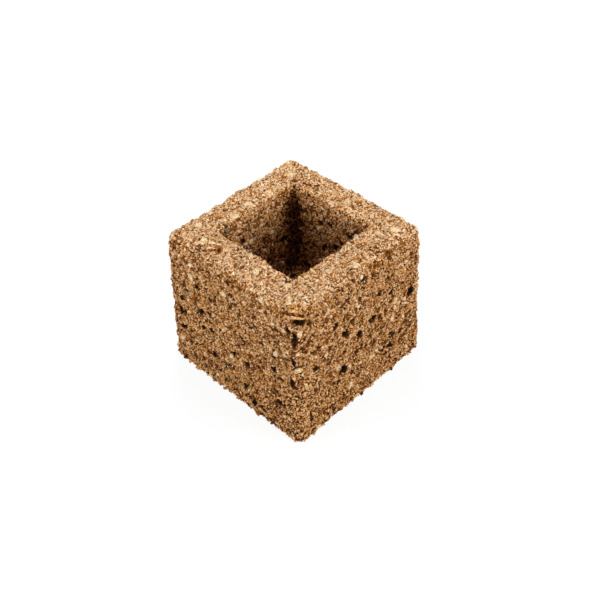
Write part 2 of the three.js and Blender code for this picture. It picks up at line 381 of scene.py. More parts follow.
def finish_piece(piece: Piece, material: bpy.types.Material) -> None:
    """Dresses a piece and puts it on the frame's body.

    Args:
        piece: The finished mesh object.
        material: What it is made of.
    """
    piece.data.materials.clear()
    piece.data.materials.append(material)
    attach(piece, BODY)
    piece.data.calc_loop_triangles()
    LOG.info("%s: %d triangles", piece.name, len(piece.data.loop_triangles))


# ---------------------------------------------------------------- finishes


@dataclass(frozen=True)
class CoirPith:
    """Pressed coir pith and peat, the binder between the crumbs.

    Pith is a dry, corky powder. Pressed, it stays dull and rough. Its colour has painted shade by
    depth, so the gaps between the crumbs and the pores look nearly black.
    """

    shadow: str = "#180a02"
    dark: str = "#532f0f"
    middle: str = "#8b5725"
    light: str = "#b88142"
    grain: float = 0.6  # mm, the width of a grain of pith
    mottle: float = 6.0  # mm, how far the mix stays paler or darker
    painted_shade_depth: float = 0.8  # mm, the depth at which a gap's painted shade is full
    shade: float = 0.9  # how much the painted shade lowers the tone there
    roughness: float = 0.96
    specular: float = 0.1  # dust scatters nearly all the shine away

    def material(self) -> bpy.types.Material:
        """Returns the material, which paints shade and light by the mesh's depth in millimetres."""
        material, tree, place = new_material("pressed_coir_pith", self.roughness, self.specular)
        grains = pattern(tree, "TexVoronoi", self.grain, place)
        mottle = pattern(tree, "TexNoise", self.mottle, place, Detail=3.0)
        tone = maths(tree, "MULTIPLY_ADD", grains.outputs["Color"], 0.55, -0.1)
        tone = maths(tree, "MULTIPLY_ADD", mottle.outputs["Fac"], 0.5, tone)
        depth = add_node(tree, "Attribute", {"attribute_name": "depth"}).outputs["Fac"]
        # Pith that stands proud gets painted light, so the range isn't cut off at 0.
        gap = ranged(tree, depth, (0.0, self.painted_shade_depth), (0.0, self.shade), clamp=False)
        tone = maths(tree, "SUBTRACT", tone, gap, clamp=True)
        stops = ((0.0, self.shadow), (0.3, self.dark), (0.6, self.middle), (0.95, self.light))
        paint(tree, tone, stops)
        emboss(tree, grains.outputs["Distance"], strength=0.6, depth=0.25)
        return material


@dataclass(frozen=True)
class CrumbMix:
    """Loose-edged crumbs of coir pith, peat and ground husk.

    Each crumb is a broken bit of one stuff, so it has one colour with faint mottling. Most are
    tan pith, some are dark peat or bark and some are pale ground husk, all dry and dull.
    """

    bark: str = "#301508"
    peat: str = "#6f390c"
    brown: str = "#a86728"
    tan: str = "#cf9755"
    straw: str = "#dfbb90"
    pale: str = "#f0dfc3"
    mottle: float = 0.42  # mm, the width of the fine grains that a crumb is made of
    spread: Place = (0.9, 0.3)  # how far the grains' tones vary in a dark and in a pale crumb
    dark_to_pale: Place = (0.4, 1.0)  # the tones between which that changes
    roughness: float = 0.93
    specular: float = 0.15

    def material(self) -> bpy.types.Material:
        """Returns the material, which reads each crumb's tone from 0, bark, to 1, pale."""
        material, tree, place = new_material("coir_crumb_mix", self.roughness, self.specular)
        specks = pattern(tree, "TexVoronoi", self.mottle, place)
        tone = add_node(tree, "Attribute", {"attribute_name": "tone"}).outputs["Fac"]
        spread = ranged(tree, tone, self.dark_to_pale, self.spread)
        centred = maths(tree, "SUBTRACT", specks.outputs["Color"], 0.5)
        mottled = maths(tree, "MULTIPLY_ADD", centred, spread, tone, clamp=True)
        stops = (
            (0.0, self.bark),
            (0.2, self.peat),
            (0.4, self.brown),
            (0.6, self.tan),
            (0.8, self.straw),
            (1.0, self.pale),
        )
        paint(tree, mottled, stops)
        return material


@dataclass(frozen=True)
class HuskChip:
    """A cut chip of coconut husk, sun-dried.

    Husk is cork with stiff fibres in it. Cut, it is pale and a little less dull than pith, with
    fine streaks along the fibres and a browner skin in places.
    """

    name: str
    skin: str
    flesh: str
    fibre: str
    streak: float = 0.3  # mm, the spacing of the fibres
    length: float = 3.0  # mm, how far a streak runs
    lie: Point = (0.3, 0.5, 0.7)  # the fibres' turns about X, Y and Z, in radians
    dust: float = 0.42  # mm, the width of the grains of pith that cling to it
    roughness: float = 0.78

    def material(self) -> bpy.types.Material:
        """Returns the material."""
        material, tree, place = new_material(self.name, self.roughness)
        stretch = (self.streak / self.length, 1.0, 1.0)
        along = add_node(tree, "Mapping", {"Scale": stretch, "Rotation": self.lie}, {0: place})
        noise = pattern(tree, "TexNoise", self.streak, along.outputs[0], Detail=2.0)
        streaks = noise.outputs["Fac"]
        dust = pattern(tree, "TexVoronoi", self.dust, place)
        dusty = maths(tree, "MULTIPLY_ADD", dust.outputs["Color"], 0.4, -0.22)
        tone = maths(tree, "ADD", dusty, streaks)
        paint(tree, tone, ((0.3, self.skin), (0.5, self.flesh), (0.68, self.fibre)))
        emboss(tree, streaks, strength=0.5, depth=0.15)
        return material


PALE_HUSK = HuskChip("sun_dried_husk", "#a57a48", "#d6b887", "#ebdab6")
GREY_HUSK = HuskChip("weathered_husk", "#3e3823", "#6d6446", "#9b906c")


# ---------------------------------------------------------------- the block


@dataclass
class PressedBlock:
    """The block itself, pressed in a mould, at the frame's sizes in millimetres."""

    base_side: float = 80.0
    top_side: float = 75.0
    height: float = 70.0
    edge_radius: float = 4.2
    foot_radius: float = 1.5
    lip_width: float = 1.5
    shoulder_width: float = 4.5
    pocket_mouth: float = 43.5
    pocket_floor: float = 35.0
    pocket_depth: float = 40.0
    pocket_edge_radius: float = 1.0
    swell_height: float = 0.3
    swell_length: float = 17.0
    lump_height: float = 0.4
    lump_spacing: float = 9.5
    fade: float = 9.0  # how far from the base and the floor the swell and the lumps begin
    mark_radius: float = 5.4
    mark_height: float = 0.8
    voxel: float = 0.67
    grain: float = 1.5
    grain_height: float = 0.5
    dust: float = 0.8
    dust_height: float = 0.3
    bed: float = 0.45  # how far the surface lies back under its crumbs
    flat_share: float = 0.45  # how much of the grain the base and the pocket's floor get
    fringe: float = 2.4  # the height of the foot, which has crumbs of its own
    painted_rim_light: float = 0.25  # painted light: how much lighter the gaps on the rim's upward faces look
    painted_corner_shade_reach: Place = (3.0, 8.5)  # how far a corner's painted shade spreads at the mouth and the floor
    painted_corner_shade_and_foot_depth: float = 1.2  # how much deeper the gaps look in the painted corner shade and at the foot
    foot_darkening: float = 0.14  # the share of darkening at the foot, which grows towards the bottom
    marks: dict[Side, tuple[Place, ...]] = field(
        default_factory=lambda: {
            Side.FRONT: ((-0.51, 0.6), (0.83, 0.6)),
            Side.RIGHT: ((0.43, 0.6),),
            Side.BACK: ((0.47, 0.6),),
        }
    )

    def __post_init__(self) -> None:
        """Works out the places that follow from the sizes."""
        self.floor_height = self.height - self.pocket_depth
        self.rim_inner = self.pocket_mouth / 2 + self.lip_width
        self.rim_outer = self.top_side / 2 - self.shoulder_width

    def wall_half(self, z: float) -> float:
        """Half the block's width at a height."""
        return (self.base_side + (self.top_side - self.base_side) * z / self.height) / 2

    def pocket_half(self, z: float) -> float:
        """Half the pocket's width at a height."""
        share = (z - self.floor_height) / self.pocket_depth
        return (self.pocket_floor + (self.pocket_mouth - self.pocket_floor) * share) / 2

    def on_wall(self, side: Side, place: Place) -> tuple[Vector, Vector]:
        """A seat on an outer wall.

        Args:
            side: The wall.
            place: Its shares of the wall's half width and of its height.

        Returns:
            The point in millimetres and the direction outwards.
        """
        z = place[1] * self.height
        turn = Matrix.Rotation(side.value * QUARTER, 3, "Z")
        half = self.wall_half(z)
        return turn @ Vector((place[0] * half, -half, z)), turn @ Vector((0.0, -1.0, 0.0))

    def in_pocket(self, side: Side, place: Place) -> tuple[Vector, Vector]:
        """A seat on one of the pocket's walls, as on_wall gives one."""
        z = self.floor_height + place[1] * self.pocket_depth
        turn = Matrix.Rotation(side.value * QUARTER, 3, "Z")
        half = self.pocket_half(z)
        return turn @ Vector((place[0] * half, -half, z)), turn @ Vector((0.0, 1.0, 0.0))

    def on_rim(self, side: Side, place: Place) -> tuple[Vector, Vector]:
        """A seat on the rim, by its shares along the side and from the lip to the shoulder."""
        over = self.rim_inner + (self.rim_outer - self.rim_inner) * place[1]
        turn = Matrix.Rotation(side.value * QUARTER, 3, "Z")
        return turn @ Vector((place[0] * self.top_side / 2, -over, self.height)), Vector((0, 0, 1))

    def painted_corner_shade_and_foot(self, at: Array) -> Array:
        """How much each place is darkened: painted shade in the pocket's corners, and the walls
        darker towards the foot.

        Args:
            at: One row for each place, in millimetres.

        Returns:
            A share from 0 to 1, which is largest in the pocket's back left corner.
        """
        below = np.clip((self.height - at[:, 2]) / self.pocket_depth, 0, 1)
        half = self.pocket_half(np.maximum(at[:, 2], self.floor_height))
        away = np.hypot(half - np.abs(at[:, 0]), half - np.abs(at[:, 1]))
        reach = self.painted_corner_shade_reach[0] + (self.painted_corner_shade_reach[1] - self.painted_corner_shade_reach[0]) * below
        inside = (np.abs(at[:, :2]).max(1) < half + 2) & (at[:, 2] > self.floor_height - 3)
        corner = np.clip(0.5 + (at[:, 1] - at[:, 0]) / (4 * half), 0, 1)
        corner *= np.clip(4 * below, 0, 1) * np.exp(-((away / reach) ** 2))
        return np.where(inside, corner, self.foot_darkening * np.clip(1 - at[:, 2] / self.height, 0, 1))

    def mould(self) -> Piece:
        """Models the plain moulded block.

        Returns:
            The block, before its marks and pores.
        """
        base, top, height = self.base_side * MM, self.top_side * MM, self.height * MM
        middle, crown = Vector((0, 0, height / 2)), Vector((0, 0, height))
        near = 0.01 * MM
        deselect_all()
        bpy.ops.mesh.primitive_cube_add(size=base, location=middle)
        block = bpy.context.object
        settle()
        with edit_mode(block, whole=True):
            resize((1, 1, height / base), middle)
            pick("FACE", lambda at, normal: normal.z > 0.5)
            resize((top / base, top / base, 1), crown)
            # The pocket is pressed down into the top and narrows to its floor.
            bpy.ops.mesh.inset(thickness=(self.top_side - self.pocket_mouth) / 2 * MM)
            bpy.ops.mesh.extrude_region_move(
                TRANSFORM_OT_translate={"value": (0, 0, -self.pocket_depth * MM)}
            )
            narrowed = self.pocket_floor / self.pocket_mouth
            floor = Vector((0, 0, self.floor_height * MM))
            resize((narrowed, narrowed, 1), floor)
            # The arrises with the shoulder, then the foot's edge, then the pocket's edges.
            outside = self.rim_inner * MM + near
            pick(
                "EDGE",
                lambda at, along: max(abs(at.x), abs(at.y)) > outside
                and (
                    abs(along.z) > 0.9
                    or at.z > height - near
                    and min(abs(at.x), abs(at.y)) < near
                )
            )
            bpy.ops.mesh.bevel(offset=self.edge_radius * MM, segments=5)
            pick("EDGE", lambda at, along: at.z < near)
            bpy.ops.mesh.bevel(offset=self.foot_radius * MM, segments=3)
            pick(
                "EDGE",
                lambda at, along: max(abs(at.x), abs(at.y)) < outside
                and at.z > self.floor_height * MM - near
            )
            bpy.ops.mesh.bevel(offset=self.pocket_edge_radius * MM, segments=3)
        return block

    def press_marks(self, block: Piece) -> Piece:
        """Adds the low round marks that the press left on the rim.

        Args:
            block: The moulded block.

        Returns:
            The block, with its marks in the same mesh.
        """
        radius, lift = self.mark_radius * MM, self.mark_height * MM
        parts = [block]
        for side, places in self.marks.items():
            for place in places:
                at, _ = self.on_rim(side, place)
                deselect_all()
                sunk = 4 * lift
                bpy.ops.mesh.primitive_cylinder_add(
                    vertices=20,
                    radius=radius,
                    depth=lift + sunk,
                    location=at * MM + Vector((0, 0, (lift - sunk) / 2)),
                )
                mark = bpy.context.object
                settle()
                crown = self.height * MM + lift - 0.01 * MM
                with edit_mode(mark):
                    pick("EDGE", lambda at, along: at.z > crown and abs(along.z) < 0.1)
                    bpy.ops.mesh.bevel(offset=0.9 * lift, segments=2)
                parts.append(mark)
        return joined(parts)

    def open_pores(self, block: Piece, cutter: Piece) -> None:
        """Cuts the pores and clefts out of the block.

        Args:
            block: The moulded block.
            cutter: A shape for each pore and cleft, which is used up.
        """
        apply_modifier(
            block, "BOOLEAN", operation="DIFFERENCE", object=cutter, solver="EXACT", use_self=True
        )
        bpy.data.objects.remove(cutter)

    def swell(self, at: Array) -> Array:
        """The swell and the lumps of the surface at each place, as the frame has them.

        Args:
            at: One row for each place, in millimetres.

        Returns:
            How far they lift the surface, in millimetres.
        """
        x, y, z = at.T
        k = 2 * math.pi / self.swell_length
        broad = np.sin(k * x + 1.7 * np.sin(0.6 * k * z)) * np.cos(0.8 * k * y + 0.9)
        slanted = np.sin(k * (0.7 * x + 1.1 * y - 0.9 * z) + 2)
        # The lumps lie askew to every face.
        k = 2 * math.pi / self.lump_spacing
        u = k * (0.8 * x + 0.36 * y + 0.48 * z)
        v = k * (-0.6 * x + 0.48 * y + 0.64 * z)
        w = k * (-0.8 * y + 0.6 * z)
        lumps = (np.sin(u) * np.cos(v) + np.sin(v) * np.cos(w) + np.sin(w) * np.cos(u)) / 1.3
        return self.swell_height * (0.6 * broad + 0.4 * slanted) + self.lump_height * lumps

    def swell_share(self, at: Array, facing: Array) -> Array:
        """How much of the swell each place gets: none on the base and the pocket's floor.

        Args:
            at: One row for each place, in millimetres.
            facing: The direction that the plain block faces there.

        Returns:
            A share from 0 to 1.
        """
        inside = np.abs(at[:, :2]).max(1) < self.rim_inner
        start = self.foot_radius + np.where(inside, self.floor_height, 0)
        return np.clip((at[:, 2] - start) / self.fade, 0, 1) * (facing[:, 2] > -0.5)

    def roughen(self, block: Piece) -> None:
        """Raises the crumbly grain of the pressed mix, low on the base and the pocket's floor.

        Args:
            block: The remeshed block, with a vertex group named loose.
        """
        for kind, width, height, middle in (
            ("VORONOI", self.grain, -self.grain_height, 0.35),
            ("CLOUDS", self.dust, self.dust_height, 0.5),
        ):
            settings = {"mid_level": middle, "vertex_group": "loose"}
            displace(block, kind.lower(), kind, width, height, **settings)

    def build(self, cutter: Piece) -> "Surface":
        """Models the block and replaces the frame's.

        Args:
            cutter: The shapes of its pores and clefts.

        Returns:
            Its surface, for what lies on it.
        """
        block = self.press_marks(self.mould())
        block.name = block.data.name = "pressed_block"
        plain = search_tree(block.data)
        self.open_pores(block, cutter)
        apply_modifier(block, "REMESH", mode="VOXEL", voxel_size=self.voxel * MM)
        at = vertex_places(block.data)
        facing, sunk = np.empty_like(at), np.empty(len(at))
        for index, place in enumerate(at):
            near, normal, _, _ = plain.find_nearest(Vector(place))
            facing[index] = normal
            sunk[index] = (near - Vector(place)).dot(normal) / MM
        lift = self.swell_share(at / MM, facing) * self.swell(at / MM)
        lift -= self.bed * (facing[:, 2] > -0.5)
        swelled = at + facing * lift[:, None] * MM
        move_vertices(block.data, swelled)
        self.mark_loose(block, at / MM, facing)
        self.roughen(block)
        rough = vertex_places(block.data)
        # The base stands flat on its table.
        rough[:, 2] = np.maximum(rough[:, 2], 0.0)
        move_vertices(block.data, rough)
        relief = ((rough - swelled) * facing).sum(1) / MM
        # Painted light: the upward faces of the upper half, the rim, get lighter gaps.
        painted_rim_lightening = self.painted_rim_light * np.clip(facing[:, 2], 0, 1) * (at[:, 2] > self.height * MM / 2)
        # Painted shade in the pocket's corners, and darker towards the foot.
        painted_corner_shade_and_foot = self.painted_corner_shade_and_foot_depth * self.painted_corner_shade_and_foot(rough / MM)
        # The pith's depth gives painted shade in pores and dips, and painted light on crests.
        set_values(block.data, "depth", np.maximum(sunk, 0) - relief - painted_rim_lightening + painted_corner_shade_and_foot)
        finish_piece(block, CoirPith().material())
        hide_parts("block_body")
        return Surface.of(self, block.data, facing, sunk)

    def mark_loose(self, block: Piece, at: Array, facing: Array) -> None:
        """Says where the mix crumbles most, in a vertex group that the roughening reads.

        Args:
            block: The remeshed block.
            at: Its vertices' places in millimetres.
            facing: The direction that the plain block faces there.
        """
        floor = (facing[:, 2] > 0.9) & (at[:, 2] < self.height / 2)
        flat = (facing[:, 2] < -0.9) | floor
        group = block.vertex_groups.new(name="loose")
        for share, chosen in ((self.flat_share, flat), (1.0, ~flat)):
            group.add(np.flatnonzero(chosen).tolist(), share, "REPLACE")


def joined(parts: Sequence[Piece]) -> Piece:
    """Joins objects into the first one.

    Args:
        parts: The objects.

    Returns:
        The first object.
    """
    select_only(parts[0])
    for part in parts:
        part.select_set(True)
    bpy.ops.object.join()
    return parts[0]


# ---------------------------------------------------------------- crumbs


@dataclass
class Surface:
    """The block's surface as triangles, for what is scattered on it, in millimetres."""

    block: PressedBlock
    corners: Array
    facing: Array
    sunk: Array
    area: Array
    region: Array
    pore_depth: float = 0.45  # what lies deeper counts as down in a pore
    pore_share: float = 0.1  # how many crumbs lie there, as a share of those on the surface

    @classmethod
    def of(
        cls, block: PressedBlock, mesh: Mesh, facing: Array, sunk: Array
    ) -> "Surface":
        """Reads the surface of a finished mesh.

        Args:
            block: The block's sizes.
            mesh: Its mesh.
            facing: For each vertex, the direction that the plain block faces.
            sunk: For each vertex, its depth in a pore.

        Returns:
            The surface.
        """
        mesh.calc_loop_triangles()
        triangles = np.empty(len(mesh.loop_triangles) * 3, np.int32)
        mesh.loop_triangles.foreach_get("vertices", triangles)
        triangles = triangles.reshape(-1, 3)
        corners = vertex_places(mesh)[triangles] / MM
        across = np.cross(corners[:, 1] - corners[:, 0], corners[:, 2] - corners[:, 0])
        outwards = facing[triangles].mean(1)
        outwards /= np.linalg.norm(outwards, axis=1, keepdims=True).clip(1e-9)
        middle = corners.mean(1)
        reach = np.abs(middle[:, :2]).max(1)
        sides = [Region.FRONT, Region.RIGHT, Region.BACK, Region.LEFT]
        turned = np.stack([-middle[:, 1], middle[:, 0], middle[:, 1], -middle[:, 0]], 1)
        region = np.array([side.value for side in sides], dtype="<U8")[turned.argmax(1)]
        inside = (reach < block.pocket_mouth / 2 + 0.8) & (middle[:, 2] > block.floor_height - 3)
        top = (outwards[:, 2] > 0.55) & (middle[:, 2] > block.height - 6)
        region[inside] = Region.POCKET.value
        region[top & ~(inside & (middle[:, 2] < block.height - 1.2))] = Region.RIM.value
        region[(outwards[:, 2] > -0.9) & (middle[:, 2] < block.fringe)] = Region.FOOT.value
        region[(outwards[:, 2] < -0.7) & (middle[:, 2] < 3)] = Region.BASE.value
        area = np.linalg.norm(across, axis=1) / 2
        return cls(block, corners, outwards, sunk[triangles].mean(1), area, region)

    def within(self, regions: Sequence[Region]) -> Array:
        """Says which triangles lie in some regions."""
        return np.isin(self.region, [region.value for region in regions])

    def size(self, regions: Sequence[Region]) -> float:
        """The area of some regions in square millimetres."""
        return float(self.area[self.within(regions)].sum())

    def pick(
        self, regions: Sequence[Region], count: int, rng: np.random.Generator
    ) -> tuple[Array, Array]:
        """Picks random places on some regions, few of them down in pores.

        Args:
            regions: Where.
            count: How many.
            rng: The random numbers.

        Returns:
            The places and the directions outwards.
        """
        kept = np.where(self.sunk > self.pore_depth, self.pore_share, 1.0)
        weight = self.area * self.within(regions) * kept
        chosen = rng.choice(len(weight), count, p=weight / weight.sum())
        share = rng.random((count, 2))
        share = np.where(share.sum(1, keepdims=True) > 1, 1 - share, share)
        share = np.column_stack([1 - share.sum(1), share])
        return (self.corners[chosen] * share[:, :, None]).sum(1), self.facing[chosen]


@dataclass
class CrumbShape:
    """One modelled crumb, about 1 unit long, as numbers that can be copied thousands of times."""

    places: Array
    faces: Array
    unwrapped: Array

    @classmethod
    def taken_from(cls, model: Piece) -> "CrumbShape":
        """Reads a modelled crumb and removes its object.

        Args:
            model: The crumb, made of triangles.

        Returns:
            Its shape. Its upper faces are unwrapped to the left half of a square, seen from
            above, and its lower ones to the right half.
        """
        mesh = model.data
        places = vertex_places(mesh)
        faces = np.array([face.vertices[:] for face in mesh.polygons])
        flat = (places[:, :2] - places[:, :2].min(0)) / np.ptp(places[:, :2], axis=0)
        lower = np.array([face.normal.z < 0 for face in mesh.polygons])
        unwrapped = 0.06 + 0.88 * flat[faces]
        unwrapped[:, :, 0] = (unwrapped[:, :, 0] + lower[:, None]) / 2
        bpy.data.objects.remove(model)
        return cls(places, faces, unwrapped)


class CrumbKind(Enum):
    """The forms that crumbs of the mix break into."""

    GRAIN = "grain"
    SHARD = "shard"
    SLIVER = "sliver"
    FLAKE = "flake"


@dataclass
class CrumbModels:
    """Models each kind of crumb once, about 1 unit long, with its thickness along Z."""

    unevenness: float = 0.07

    def finish(self, seed: int) -> CrumbShape:
        """Roughens the crumb in hand, cuts it into triangles and reads it."""
        model = bpy.context.object
        settle()
        with edit_mode(model, whole=True):
            bpy.ops.transform.vertex_random(
                offset=self.unevenness, uniform=0.6, normal=0.4, seed=seed
            )
            bpy.ops.mesh.quads_convert_to_tris()
            bpy.ops.mesh.normals_make_consistent(inside=False)
        return CrumbShape.taken_from(model)

    def grain(self) -> CrumbShape:
        """A rounded grain of pith."""
        deselect_all()
        bpy.ops.mesh.primitive_ico_sphere_add(subdivisions=1, radius=0.5)
        with edit_mode(bpy.context.object, whole=True):
            resize((1.05, 0.85, 0.68), (0, 0, 0))
        return self.finish(3)

    def shard(self) -> CrumbShape:
        """A broken shard with one narrower face."""
        deselect_all()
        bpy.ops.mesh.primitive_cube_add(size=1)
        with edit_mode(bpy.context.object, whole=True):
            resize((0.95, 0.72, 0.5), (0, 0, 0))
            pick("FACE", lambda at, normal: normal.z > 0.5)
            resize((0.62, 0.7, 1), (0.12, 0.08, 0))
            pick("FACE", lambda at, normal: normal.x > 0.5)
            resize((1, 0.55, 0.8), (0, 0.1, 0))
        return self.finish(8)

    def sliver(self) -> CrumbShape:
        """A short shred of fibre, with drawn-out ends."""
        deselect_all()
        bpy.ops.mesh.primitive_cylinder_add(
            vertices=5, radius=0.17, depth=1, rotation=(0, QUARTER, 0)
        )
        settle()
        with edit_mode(bpy.context.object):
            pick("FACE", lambda at, normal: normal.x > 0.9)
            resize((1, 0.35, 0.35), (0.5, 0, -0.05))
            pick("FACE", lambda at, normal: normal.x < -0.9)
            resize((1, 0.5, 0.3), (-0.5, 0.04, -0.03))
        return self.finish(5)

    def flake(self) -> CrumbShape:
        """A thin flake of ground husk."""
        deselect_all()
        bpy.ops.mesh.primitive_cylinder_add(vertices=7, radius=0.5, depth=0.26)
        with edit_mode(bpy.context.object, whole=True):
            resize((1.05, 0.75, 1), (0, 0, 0))
            pick("FACE", lambda at, normal: normal.z > 0.9)
            resize((0.78, 0.74, 1), (0.05, 0, 0))
        return self.finish(11)

    def all(self) -> dict[CrumbKind, CrumbShape]:
        """Returns every kind."""
        return {
            CrumbKind.GRAIN: self.grain(),
            CrumbKind.SHARD: self.shard(),
            CrumbKind.SLIVER: self.sliver(),
            CrumbKind.FLAKE: self.flake(),
        }


def turned_to(facing: Array, tilt: float, rng: np.random.Generator) -> Array:
    """Random turns that lay a crumb's Z near each direction.

    Args:
        facing: One direction for each crumb.
        tilt: How far it may lean, as a share of the direction's length.
        rng: The random numbers.

    Returns:
        A rotation matrix for each crumb.
    """
    up = facing + tilt * rng.normal(size=facing.shape)
    up /= np.linalg.norm(up, axis=1, keepdims=True)
    along = np.cross(up, rng.normal(size=facing.shape))
    along /= np.linalg.norm(along, axis=1, keepdims=True)
    return np.stack([along, np.cross(up, along), up], 2)


@dataclass
class Packing:
    """Remembers what lies where on the block, so that nothing new lies on top of it."""

    closeness: float = 0.5  # the least distance, as a share of the sum of two half widths
    margin: float = 0.2  # mm, how far a crumb overhangs the distance it keeps
    cell: float = 3.0  # mm, no less than the largest distance asked for
    # Each cell's places, with the distance that each keeps.
    held: dict[tuple[int, int, int], list[tuple[float, float, float, float]]] = field(
        default_factory=dict
    )

    def hold(self, places: Array, widths: Array) -> None:
        """Keeps places clear, whatever lies there.

        Args:
            places: One row for each place, in millimetres.
            widths: The width to keep clear.
        """
        keys = np.floor(places / self.cell).astype(int).tolist()
        for key, place, width in zip(keys, places.tolist(), widths.tolist()):
            self.held.setdefault(tuple(key), []).append((*place, width / 2 + self.margin))

    def take(self, places: Array, widths: Array) -> Array:
        """Takes the places, in order, that keep their distance from what lies there already.

        Args:
            places: One row for each place, in millimetres.
            widths: The width of what is to lie there.

        Returns:
            The numbers of the places taken.
        """
        keys = np.floor(places / self.cell).astype(int)
        near = [(i, j, k) for i in (-1, 0, 1) for j in (-1, 0, 1) for k in (-1, 0, 1)]
        reaches = widths * self.closeness / 2
        taken = []
        for index, ((x, y, z), reach, (i, j, k)) in enumerate(
            zip(places.tolist(), reaches.tolist(), keys.tolist())
        ):
            free = not any(
                (x - ox) ** 2 + (y - oy) ** 2 + (z - oz) ** 2 < (reach + other) ** 2
                for di, dj, dk in near
                for ox, oy, oz, other in self.held.get((i + di, j + dj, k + dk), ())
            )
            if free:
                self.held.setdefault((i, j, k), []).append((x, y, z, reach))
                taken.append(index)
        return np.array(taken, dtype=int)


@dataclass
class CrumbLayer:
    """Crumbs that stand on some regions, largest first and packed side by side, as one piece."""

    name: str
    regions: tuple[Region, ...]
    seed: int
    widths: tuple[float, ...] = (2.0, 1.6, 1.3, 1.05, 0.86, 0.7)  # mm
    per_square: tuple[float, ...] = (0.02, 0.06, 0.2, 0.6, 1.8, 4.2)  # tries on a mm2
    gaps: float = 0.05  # small openings on a mm2 that are left between them
    gap_widths: Place = (0.5, 1.2)
    tilt: float = 0.4
    proud: float = 0.2  # the middle's height, as a share of the width
    proud_range: Place = (-0.6, 1.4)  # how that varies, as shares of it
    width_range: Place = (0.92, 1.12)  # how each width varies, as shares of it
    gap_taper: float = 0.7  # a gap's second half, as a share of its width
    unevenness: float = 0.18
    painted_corner_shade_and_foot_strength: float = 0.6  # how much darker a crumb is in the painted corner shade and towards the foot
    kinds: dict[CrumbKind, float] = field(
        default_factory=lambda: {
            CrumbKind.GRAIN: 0.15,
            CrumbKind.SHARD: 0.53,
            CrumbKind.SLIVER: 0.2,
            CrumbKind.FLAKE: 0.12,
        }
    )
    # Each stuff of the mix: its share of the crumbs, its tone and how far that varies.
    stuffs: tuple[tuple[float, float, float], ...] = (
        (0.53, 0.62, 0.08),
        (0.24, 0.5, 0.08),
        (0.05, 0.26, 0.06),
        (0.06, 0.04, 0.04),
        (0.11, 0.74, 0.05),
        (0.01, 0.92, 0.05),
    )

    def build(
        self, surface: Surface, shapes: dict[CrumbKind, CrumbShape], packing: Packing
    ) -> Piece:
        """Scatters the crumbs and joins them as one piece.

        Args:
            surface: The block's surface.
            shapes: The modelled crumbs.
            packing: What lies there already.

        Returns:
            The piece.
        """
        rng = np.random.default_rng(self.seed)
        counts = [int(surface.size(self.regions) * tries) for tries in self.per_square]
        self.leave_gaps(surface, packing, rng)
        widths = np.repeat(self.widths, counts) * rng.uniform(*self.width_range, sum(counts))
        places, facing = surface.pick(self.regions, len(widths), rng)
        taken = packing.take(places, widths)
        widths, places, facing = widths[taken], places[taken], facing[taken]
        turns = turned_to(facing, self.tilt, rng)
        raised = widths * self.proud * rng.uniform(*self.proud_range, len(widths))
        centres = places + facing * raised[:, None]
        # Crumbs get painted shade in the pocket's corners, and are darker towards the foot.
        tones = self.tones(len(widths), rng) - self.painted_corner_shade_and_foot_strength * surface.block.painted_corner_shade_and_foot(places)
        odds = np.array(list(self.kinds.values()))
        kind = rng.choice(len(odds), len(widths), p=odds / odds.sum())
        groups = []
        for index, name in enumerate(self.kinds):
            shape, mine = shapes[name], np.flatnonzero(kind == index)
            uneven = 1 + self.unevenness * rng.uniform(-1, 1, (len(mine), len(shape.places), 1))
            sized = shape.places[None] * uneven * widths[mine, None, None]
            placed = np.einsum("kij,knj->kni", turns[mine], sized) + centres[mine, None]
            # No crumb reaches below the table.
            placed[:, :, 2] -= np.minimum(placed[:, :, 2].min(1), 0)[:, None]
            groups.append((shape, placed, tones[mine]))
        return crumb_piece(self.name, groups)

    def leave_gaps(self, surface: Surface, packing: Packing, rng: np.random.Generator) -> None:
        """Keeps small winding openings clear, where the pith behind the crumbs shows in its painted
        shade.

        Args:
            surface: The block's surface.
            packing: What lies there already.
            rng: The random numbers.
        """
        count = int(surface.size(self.regions) * self.gaps)
        places, facing = surface.pick(self.regions, count, rng)
        widths = rng.uniform(*self.gap_widths, count)
        along = np.cross(facing, rng.normal(size=facing.shape))
        along /= np.linalg.norm(along, axis=1, keepdims=True)
        packing.hold(places, widths)
        packing.hold(places + self.gap_taper * along * widths[:, None], self.gap_taper * widths)

    def tones(self, count: int, rng: np.random.Generator) -> Array:
        """Each crumb's tone, from 0, bark, to 1, pale."""
        share, tone, spread = np.array(self.stuffs).T
        stuff = rng.choice(len(share), count, p=share / share.sum())
        return np.clip(tone[stuff] + spread[stuff] * rng.normal(size=count), 0, 1)


def crumb_piece(
    name: str, groups: Sequence[tuple[CrumbShape, Array, Array]]
) -> Piece:
    """Joins copies of the modelled crumbs as one piece.

    Args:
        name: The piece's name.
        groups: Each modelled shape with its copies' vertices, in millimetres, and their tones.

    Returns:
        The piece.
    """
    cells = math.ceil(math.sqrt(sum(len(tones) for _, _, tones in groups)))
    parts: list[tuple[Array, Array, Array, Array]] = []
    first = before = 0
    for shape, copies, tones in groups:
        starts = first + len(shape.places) * np.arange(len(copies))
        number = before + np.arange(len(copies))
        corner = np.stack([number % cells, number // cells], 1)[:, None, None]
        parts.append(
            (
                copies.reshape(-1, 3),
                (shape.faces[None] + starts[:, None, None]).reshape(-1, 3),
                np.repeat(tones, len(shape.places)),
                ((shape.unwrapped[None] + corner) / cells).reshape(-1, 2),
            )
        )
        first += len(copies) * len(shape.places)
        before += len(copies)
    places, faces, tones, unwrapped = (np.concatenate(values) for values in zip(*parts))
    mesh = mesh_from(name, places * MM, faces)
    set_values(mesh, "tone", tones)
    # Each crumb has a cell of this map to itself, so that a bake keeps its own colour.
    layer = mesh.uv_layers.new(name="OFBake")
    layer.uv.foreach_set("vector", unwrapped.astype(np.float32).ravel())
    return new_piece(name, mesh)


